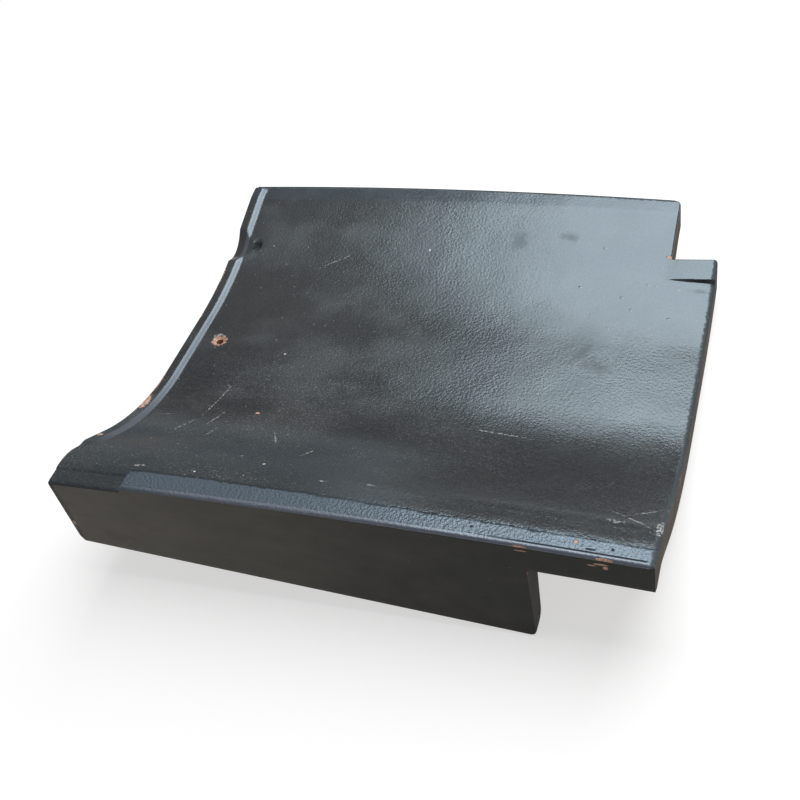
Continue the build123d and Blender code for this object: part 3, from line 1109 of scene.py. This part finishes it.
def dark_slip(look):
    """Matt dark slip on the verge face, lighter towards the tail, with smears and small chips."""
    g = Finish("dark_slip")
    cloud = g.noise(30, 3.0, stretch=(0.6, 1, 1.4))
    drift = g.math("ADD", g.along, g.blend(cloud, -60 * MM, 60 * MM))
    smears = g.rise(g.noise(7, 4.0, seed=0.9, stretch=(0.35, 1, 1)), 0.52, 0.72)
    warm = g.both(g.rise_mm(g.along, 8, 1), g.rise(g.noise(2, seed=1.7), 0.62, 0.68))
    ovals = []
    for along, up, length, breadth in VERGE_CHIPS:
        u = g.math("DIVIDE", g.math("SUBTRACT", g.along, along * MM), length / 2 * MM)
        v = g.math("DIVIDE", g.math("SUBTRACT", g.up, up * MM), breadth / 2 * MM)
        away = g.math("SQRT", g.math("ADD", g.both(u, u), g.both(v, v)))
        ragged = g.blend(g.noise(1.6, 3.0, seed=along), -0.35, 0.35)
        ovals.append(g.rise(g.math("ADD", away, ragged), 1.1, 0.9))
    chips = g.either(*ovals)
    colour = g.layers(
        look.slip,
        # Lighter towards the tail, along a wandering edge
        (g.rise_mm(drift, 270, -40), 1, look.slip_lighter),
        (smears, 0.25, look.clay_smoked),
        (g.rise_mm(g.along, 5, 1), 0.6, look.slip_edge),
        (g.rise(g.noise(1.6, seed=2.9), 0.72, 0.76), 0.5, look.slip_lighter),
        (warm, 0.8, g.broken_clay(look)),
        (chips, 1, look.clay_pale),
    )
    roughness = g.blend(g.noise(12), 0.62, 0.78)
    normal = g.bumps(
        (g.noise(1.2, 3.0), 0.5 * look.clay_grain),
        (g.noise(14, stretch=(0.4, 1, 1)), look.clay_grain),
        (g.without(chips), look.slip_chip),
    )
    return g.finish(colour, roughness, normal, 1.3)


def fired_clay(sizes, look):
    """Bare fired clay of the underside, the ends and the inner faces, smoked dark near the glaze."""
    g = Finish("fired_clay")
    grain = g.noise(0.9, 4.0)
    patches = g.noise(24, 4.0, seed=0.5)
    ends = g.either(g.rise_mm(g.along, 6, 0.5), g.rise_mm(g.along, -5, -1, sizes.length))
    far = g.rise_mm(g.across, -4, -1, sizes.width)
    notch_start, notch_edge = notch_lines(sizes)
    notch = g.both(
        g.rise_mm(g.along, -3, -1, notch_start), g.rise_mm(g.across, -3, -1, notch_edge)
    )
    smoke = g.rise(g.noise(16, 4.0, seed=1.9), 0.05, 0.42)
    runs = g.rise(g.noise(12, 4.0, seed=2.7), 0.45, 0.75)
    fresh = g.rise(g.noise(13, 3.0, seed=6.6), 0.5, 0.8)
    pits = g.both(g.rise(g.cells(3.2), 0.14, 0.06), g.rise(patches, 0.45, 0.6))
    colour = g.layers(
        look.clay,
        (g.rise(patches, 0.3, 0.75), 0.35, look.clay_smoked),
        (g.both(g.either(ends, far, notch), smoke), 1, look.clay_smoked),
        (g.both(g.either(ends, far), runs), 0.6, look.glaze_dusty),
        (g.both(g.either(ends, notch), fresh), 0.22, look.clay_pale),
        (pits, 0.4, look.clay_smoked),
    )
    roughness = g.blend(grain, 0.8, 0.95)
    normal = g.bumps(
        (grain, look.clay_grain), (g.without(pits), look.clay_grain), (patches, 6 * look.clay_grain)
    )
    return g.finish(colour, roughness, normal, 1.35)


def spread_finishes(mesh, points, sizes):
    """Gives each face its material: glaze above, slip on the verge face, bare clay elsewhere."""
    loops = np.empty(len(mesh.loops), int)
    mesh.loops.foreach_get("vertex_index", loops)
    corners = points[loops.reshape(-1, 4)]
    normals = np.cross(corners[:, 2] - corners[:, 0], corners[:, 3] - corners[:, 1])
    normals /= np.maximum(np.linalg.norm(normals, axis=1), 1e-12)[:, None]
    facing_along, facing_across, facing_up = normals.T
    along, across, up = corners.mean(axis=1).T

    pad_start, pad_side = pad_lines(sizes)
    riser = (along > pad_start) & (np.abs(across - pad_side) < 1.5 * MM)
    glazed = (facing_up > 0.3) | (riser & (facing_up > 0))
    verge_face = ~glazed & (across < sizes.edge_radius) & (facing_across < -0.35)
    apron_end = (across < sizes.apron_top) & (up < -sizes.thickness) & (np.abs(facing_along) > 0.6)
    numbers = np.where(glazed, 0, np.where(verge_face | apron_end, 1, 2))
    mesh.polygons.foreach_set("material_index", numbers.astype(np.int32))


def pale_floor(studio):
    """A pale floor that keeps the tile's shadow, and is lifted to white where it is looked at."""
    g = Finish("pale_floor")
    path = g.add("ShaderNodeLightPath", {}).outputs
    seen = g.either(*(path[f"Is {ray} Ray"] for ray in ("Camera", "Glossy", "Transmission")))
    sockets = g.shader.inputs
    sockets["Base Color"].default_value = (*studio.floor_colour, 1)
    sockets["Roughness"].default_value = 1
    sockets["Specular IOR Level"].default_value = 0
    sockets["Emission Color"].default_value = (1, 1, 1, 1)
    g.tree.links.new(g.both(seen, studio.floor_glow), sockets["Emission Strength"])
    return g.material


def look_from(place, aim, roll):
    """The turn of a camera that stands at a place and looks at another, with a roll."""
    back = (place - aim).normalized()
    return back.to_track_quat("Z", "Y").to_matrix() @ Matrix.Rotation(roll, 3, "Z")


class VERGETILE_OT_body(bpy.types.Operator):
    """Build the glazed tile and put it in place of its plain solid"""

    bl_idname = "verge_tile.body"
    bl_label = "Glazed Tile"

    def execute(self, context):
        sizes, look = context.scene.verge_tile, context.scene.verge_tile_finish
        body, points = build_body(context)
        for material in (black_glaze(sizes, look), dark_slip(look), fired_clay(sizes, look)):
            body.data.materials.append(material)
        spread_finishes(body.data, points, sizes)
        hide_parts("verge_tile")
        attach(body, "root")
        return {"FINISHED"}


class VERGETILE_OT_stage(bpy.types.Operator):
    """Set up the pale floor, the soft lamp and the camera"""

    bl_idname = "verge_tile.stage"
    bl_label = "Studio"

    def execute(self, context):
        scene = context.scene
        studio = scene.verge_tile_studio
        scene.view_settings.view_transform = "Standard"
        turn, shift = tile_axes()

        stand, aim = Vector(studio.camera_place), Vector(studio.camera_aim)
        data = bpy.data.cameras.new("camera")
        data.lens = studio.camera_lens
        camera_turn = turn @ look_from(stand, aim, studio.camera_roll)
        scene.camera = put(context, "camera", data, camera_turn, turn @ stand + shift)

        data = bpy.data.lights.new("soft_lamp", "AREA")
        data.shape = "RECTANGLE"
        data.size = studio.lamp_length
        data.size_y = studio.lamp_breadth
        data.energy = studio.lamp_power
        lamp_turn = turn @ Matrix.Rotation(studio.lamp_turn, 3, "Z")
        put(context, "soft_lamp", data, lamp_turn, turn @ Vector(studio.lamp_place) + shift)

        mesh = bpy.data.meshes.new("floor")
        half = studio.floor_size / 2
        corners = [(-half, -half, 0), (half, -half, 0), (half, half, 0), (-half, half, 0)]
        mesh.from_pydata(corners, [], [(0, 1, 2, 3)])
        mesh.materials.append(pale_floor(studio))
        floor = put(context, "floor", mesh)

        world = bpy.data.worlds.new("grey_room")
        scene.world = world
        world.use_nodes = True
        background = world.node_tree.nodes["Background"]
        background.inputs["Color"].default_value = (1, 1, 1, 1)
        background.inputs["Strength"].default_value = studio.room_level
        return {"FINISHED"}


class VERGETILE_PT_panel(bpy.types.Panel):
    """Lists the tile's parts and their sizes"""

    bl_idname = "VERGETILE_PT_panel"
    bl_label = "Verge Tile"
    bl_space_type = "VIEW_3D"
    bl_region_type = "UI"
    bl_category = "Verge Tile"

    def draw(self, context):
        layout = self.layout
        layout.operator(VERGETILE_OT_body.bl_idname)
        layout.operator(VERGETILE_OT_stage.bl_idname)
        scene = context.scene
        for group in (scene.verge_tile, scene.verge_tile_finish, scene.verge_tile_studio):
            for name in group.bl_rna.properties.keys():
                if name not in ("rna_type", "name"):
                    layout.prop(group, name)


CLASSES = (
    TileSizes,
    TileFinish,
    StudioSettings,
    VERGETILE_OT_body,
    VERGETILE_OT_stage,
    VERGETILE_PT_panel,
)


def register():
    """Makes the tile's properties, operators and panel known."""
    for group in CLASSES:
        bpy.utils.register_class(group)
    bpy.types.Scene.verge_tile = PointerProperty(type=TileSizes)
    bpy.types.Scene.verge_tile_finish = PointerProperty(type=TileFinish)
    bpy.types.Scene.verge_tile_studio = PointerProperty(type=StudioSettings)


def unregister():
    """Takes them away again."""
    del bpy.types.Scene.verge_tile_studio
    del bpy.types.Scene.verge_tile_finish
    del bpy.types.Scene.verge_tile
    for group in reversed(CLASSES):
        bpy.utils.unregister_class(group)


def main():
    """Registers the tile's classes and builds the studio and the tile."""
    register()
    bpy.ops.verge_tile.stage()
    bpy.ops.verge_tile.body()


if __name__ == "__main__":
    main()
